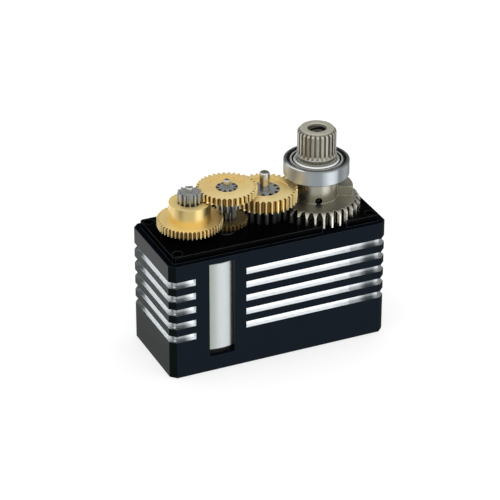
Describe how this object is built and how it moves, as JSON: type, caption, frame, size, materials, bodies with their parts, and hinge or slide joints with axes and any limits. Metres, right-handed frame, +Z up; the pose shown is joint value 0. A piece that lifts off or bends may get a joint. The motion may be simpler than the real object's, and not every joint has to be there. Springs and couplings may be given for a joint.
{
  "type": "mini servo",
  "caption": "Mini servo with its gear cover lifted off: grooved aluminium case, coreless motor, brass and steel gear train, and a splined output shaft in a sealed ball bearing.",
  "frame": {"origin": "middle of the case's underside", "axes": "+Z up along the output shaft, +X along the case from the motor end to the output end, -Y towards the motor window"},
  "size_m": [0.0356, 0.015, 0.0332],
  "materials": {
    "anodised_case": "satin black anodised, bare in the grooves",
    "cover_plate": "satin black anodised",
    "screw_steel": "black oxide",
    "grommet_rubber": "matte",
    "board_laminate": "satin solder mask",
    "chip_package": "matte",
    "capacitor_ceramic": "matte",
    "can_steel": "satin nickel",
    "bush_bronze": "sintered",
    "magnet_metal": "nickel plated",
    "black_moulding": "matte",
    "contact_metal": "bright",
    "shaft_steel": "ground",
    "coil_copper": "enamelled winding",
    "pinion_steel": "machined",
    "gear_brass": "machined",
    "output_steel": "satin nickel",
    "bearing_steel": "ground",
    "seal_black": "matte",
    "cage_steel": "stamped",
    "sensor_laminate": "matte",
    "white_moulding": "matte"
  },
  "bodies": {
    "case": {"middle_case": "anodised_case", "bottom_cover": "cover_plate", "bottom_screws": "screw_steel", "lead_grommet": "grommet_rubber", "circuit_board": "board_laminate", "control_chip": "chip_package", "motor_drivers": "chip_package", "capacitors": "capacitor_ceramic", "motor_can": "can_steel", "motor_front_bush": "bush_bronze", "motor_magnet": "magnet_metal", "motor_end_cap": "black_moulding", "motor_terminals": "contact_metal", "motor_brushes": "contact_metal", "motor_screws": "screw_steel", "first_shaft": "shaft_steel", "second_shaft": "shaft_steel", "fourth_shaft": "shaft_steel", "output_bush": "bush_bronze", "sensor_housing": "black_moulding", "sensor_base": "sensor_laminate", "sensor_leads": "contact_metal"},
    "rotor": {"motor_shaft": "shaft_steel", "motor_coil": "coil_copper", "commutator": "contact_metal", "motor_pinion": "pinion_steel"},
    "first_stage": {"first_gear": "gear_brass", "first_pinion": "pinion_steel"},
    "second_stage": {"second_gear": "gear_brass", "second_pinion": "pinion_steel"},
    "third_stage": {"third_gear": "gear_brass", "third_pinion": "pinion_steel"},
    "fourth_stage": {"fourth_gear": "gear_brass", "fourth_pinion": "pinion_steel"},
    "output": {"output_shaft": "output_steel", "bearing_inner_ring": "bearing_steel", "sensor_wiper": "white_moulding"},
    "outer_race": {"bearing_outer_ring": "bearing_steel", "bearing_seals": "seal_black"},
    "ball_set": {"bearing_balls": "bearing_steel", "bearing_cage": "cage_steel"}
  },
  "joints": [
    {"name": "output_turn", "type": "hinge", "parent": "case", "child": "output", "pos_m": [0.00935, 0, 0], "axis": [0, 0, 1], "range_deg": [-75, 75]},
    {"name": "fourth_turn", "type": "hinge", "parent": "case", "child": "fourth_stage", "pos_m": [0.00075, 0, 0], "axis": [0, 0, 1], "range_deg": [-218.3, 218.3]},
    {"name": "third_turn", "type": "hinge", "parent": "case", "child": "third_stage", "pos_m": [-0.00541, 0, 0], "axis": [0, 0, 1], "range_deg": [-741.9, 741.9]},
    {"name": "second_turn", "type": "hinge", "parent": "case", "child": "second_stage", "pos_m": [-0.01141, 0, 0], "axis": [0, 0, 1], "range_deg": [-1997.3, 1997.3]},
    {"name": "first_turn", "type": "hinge", "parent": "case", "child": "first_stage", "pos_m": [-0.00541, 0, 0], "axis": [0, 0, 1], "range_deg": [-7988.9, 7988.9]},
    {"name": "rotor_turn", "type": "hinge", "parent": "case", "child": "rotor", "pos_m": [-0.00951, 0, 0], "axis": [0, 0, 1], "range_deg": [-21787.8, 21787.8]},
    {"name": "race_turn", "type": "hinge", "parent": "output", "child": "outer_race", "pos_m": [0.00935, 0, 0], "axis": [0, 0, 1], "continuous": true},
    {"name": "ball_turn", "type": "hinge", "parent": "output", "child": "ball_set", "pos_m": [0.00935, 0, 0], "axis": [0, 0, 1], "continuous": true}
  ],
  "couplings": [
    {"joint": "fourth_turn", "follows": "output_turn", "ratio": -2.9091},
    {"joint": "third_turn", "follows": "output_turn", "ratio": 9.8909},
    {"joint": "second_turn", "follows": "output_turn", "ratio": -26.629},
    {"joint": "first_turn", "follows": "output_turn", "ratio": 106.52},
    {"joint": "rotor_turn", "follows": "output_turn", "ratio": -290.5},
    {"joint": "ball_turn", "follows": "race_turn", "ratio": 0.57453}
  ]
}
